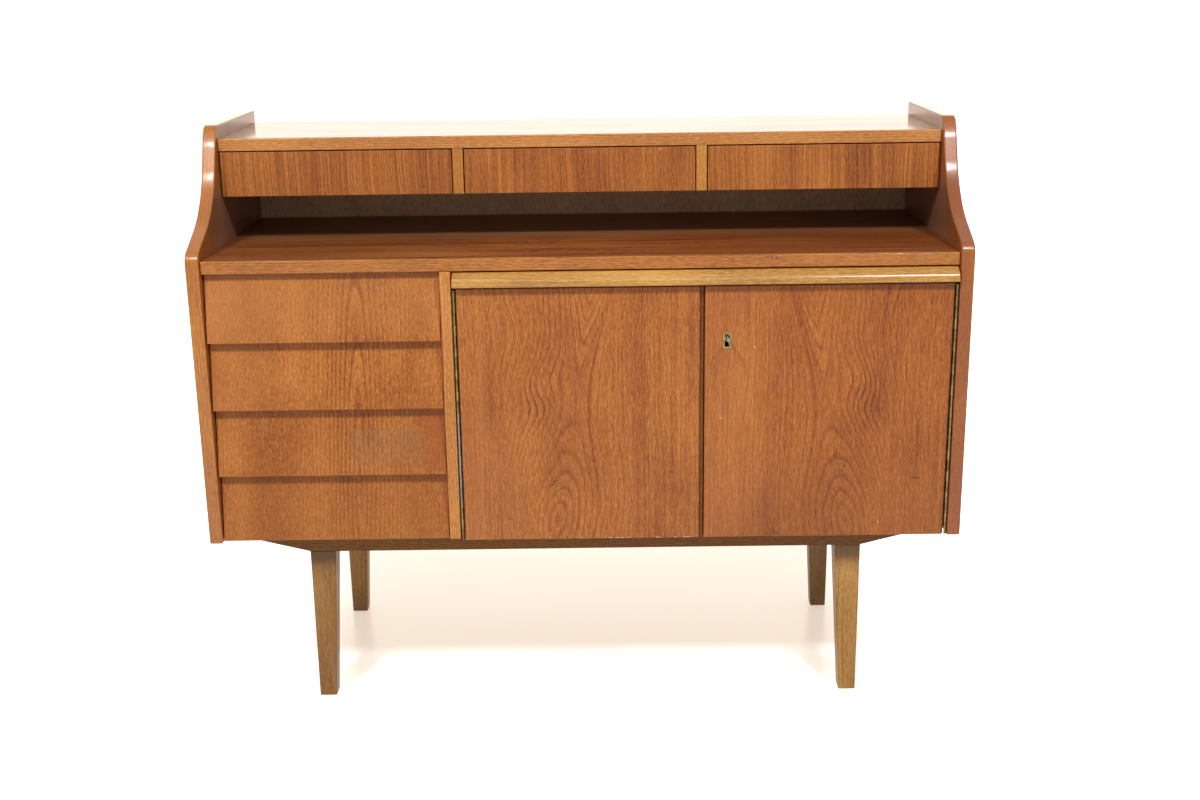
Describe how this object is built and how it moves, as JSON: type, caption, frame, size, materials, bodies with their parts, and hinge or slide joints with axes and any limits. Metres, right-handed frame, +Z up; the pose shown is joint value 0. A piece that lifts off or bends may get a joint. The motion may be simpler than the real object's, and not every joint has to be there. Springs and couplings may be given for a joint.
{
  "type": "sideboard",
  "caption": "Teak sideboard with louvre drawers, a two-door cupboard under a pull-out leaf, an open niche and small drawers above, on tapered legs.",
  "frame": {"origin": "centre of the outer box, at floor level under the feet", "axes": "+X to the right seen from the front, +Y to the back, +Z up"},
  "size_m": [1.2, 0.488, 0.938],
  "materials": {
    "back_board": "matt, grey brown",
    "brass": "dulled",
    "dark_rail": "satin, dark stain",
    "hinge_metal": "dulled and tarnished",
    "honey_beech": "satin lacquer",
    "inside_wood": "plain, unfinished",
    "pale_edge": "satin, yellow brown",
    "stained_beech": "satin, olive brown stain",
    "steel": "dulled",
    "teak": "oiled satin, orange brown",
    "teak_lipping": "oiled satin, a little lighter"
  },
  "bodies": {
    "carcass": {"back_panel": "back_board", "bank_floor": "inside_wood", "base_rail_back": "dark_rail", "base_rail_front": "dark_rail", "bottom_panel": "teak", "centre_divider": "teak_lipping", "cross_rail_left": "dark_rail", "cross_rail_right": "dark_rail", "cupboard_shelf": "teak", "dust_panel_1": "inside_wood", "dust_panel_2": "inside_wood", "dust_panel_3": "inside_wood", "hinge_left_case_leaf": "hinge_metal", "hinge_left_pin": "hinge_metal", "hinge_right_case_leaf": "hinge_metal", "hinge_right_pin": "hinge_metal", "leaf_bearer": "inside_wood", "leg_back_left": "stained_beech", "leg_back_right": "stained_beech", "leg_front_left": "stained_beech", "leg_front_right": "stained_beech", "main_top": "teak", "main_top_lipping": "teak_lipping", "side_left": "teak", "side_right": "teak", "small_divider_left": "pale_edge", "small_divider_right": "pale_edge", "upper_shelf": "teak", "upper_shelf_lipping": "teak_lipping"},
    "door_bolt": {"door_bolt": "steel"},
    "drawer_1": {"drawer_1_bottom": "inside_wood", "drawer_1_box": "inside_wood", "drawer_1_front": "teak"},
    "drawer_2": {"drawer_2_bottom": "inside_wood", "drawer_2_box": "inside_wood", "drawer_2_front": "teak"},
    "drawer_3": {"drawer_3_bottom": "inside_wood", "drawer_3_box": "inside_wood", "drawer_3_front": "teak"},
    "drawer_4": {"drawer_4_bottom": "inside_wood", "drawer_4_box": "inside_wood", "drawer_4_front": "teak"},
    "key": {"key": "steel"},
    "leaf": {"leaf_board": "teak", "leaf_nosing": "honey_beech"},
    "left_door": {"door_bolt_plate": "brass", "door_left": "teak", "hinge_left_door_leaf": "hinge_metal", "meeting_bead": "dark_rail"},
    "lock_bolt": {"lock_bolt": "brass"},
    "right_door": {"door_right": "teak", "escutcheon": "brass", "hinge_right_door_leaf": "hinge_metal", "lock_case": "steel"},
    "small_drawer_left": {"small_drawer_left_front": "teak", "small_drawer_left_tray": "inside_wood"},
    "small_drawer_middle": {"small_drawer_middle_front": "teak", "small_drawer_middle_tray": "inside_wood"},
    "small_drawer_right": {"small_drawer_right_front": "teak", "small_drawer_right_tray": "inside_wood"}
  },
  "joints": [
    {"name": "drawer_1_slide", "type": "slide", "parent": "carcass", "child": "drawer_1", "axis": [0, -1, 0], "range_m": [0, 0.3]},
    {"name": "drawer_2_slide", "type": "slide", "parent": "carcass", "child": "drawer_2", "axis": [0, -1, 0], "range_m": [0, 0.3]},
    {"name": "drawer_3_slide", "type": "slide", "parent": "carcass", "child": "drawer_3", "axis": [0, -1, 0], "range_m": [0, 0.3]},
    {"name": "drawer_4_slide", "type": "slide", "parent": "carcass", "child": "drawer_4", "axis": [0, -1, 0], "range_m": [0, 0.3]},
    {"name": "small_drawer_left_slide", "type": "slide", "parent": "carcass", "child": "small_drawer_left", "axis": [0, -1, 0], "range_m": [0, 0.18]},
    {"name": "small_drawer_middle_slide", "type": "slide", "parent": "carcass", "child": "small_drawer_middle", "axis": [0, -1, 0], "range_m": [0, 0.18]},
    {"name": "small_drawer_right_slide", "type": "slide", "parent": "carcass", "child": "small_drawer_right", "axis": [0, -1, 0], "range_m": [0, 0.18]},
    {"name": "leaf_slide", "type": "slide", "parent": "carcass", "child": "leaf", "axis": [0, -1, 0], "range_m": [0, 0.3]},
    {"name": "left_door_hinge", "type": "hinge", "parent": "carcass", "child": "left_door", "pos_m": [-0.1939, -0.2005, 0.2932], "axis": [0, 0, 1], "range_deg": [-170, 0]},
    {"name": "right_door_hinge", "type": "hinge", "parent": "carcass", "child": "right_door", "pos_m": [0.5753, -0.2005, 0.2932], "axis": [0, 0, 1], "range_deg": [0, 170]},
    {"name": "door_bolt_slide", "type": "slide", "parent": "left_door", "child": "door_bolt", "axis": [0, 0, 1], "range_m": [0, 0.01]},
    {"name": "key_turn", "type": "hinge", "parent": "right_door", "child": "key", "pos_m": [0.225, -0.199, 0.6222], "axis": [0, -1, 0], "range_deg": [0, 180.3]},
    {"name": "lock_bolt_slide", "type": "slide", "parent": "right_door", "child": "lock_bolt", "axis": [-1, 0, 0], "range_m": [0, 0.008]}
  ],
  "couplings": [
    {"joint": "key_turn", "follows": "lock_bolt_slide", "rad_per_m": 392.7}
  ]
}
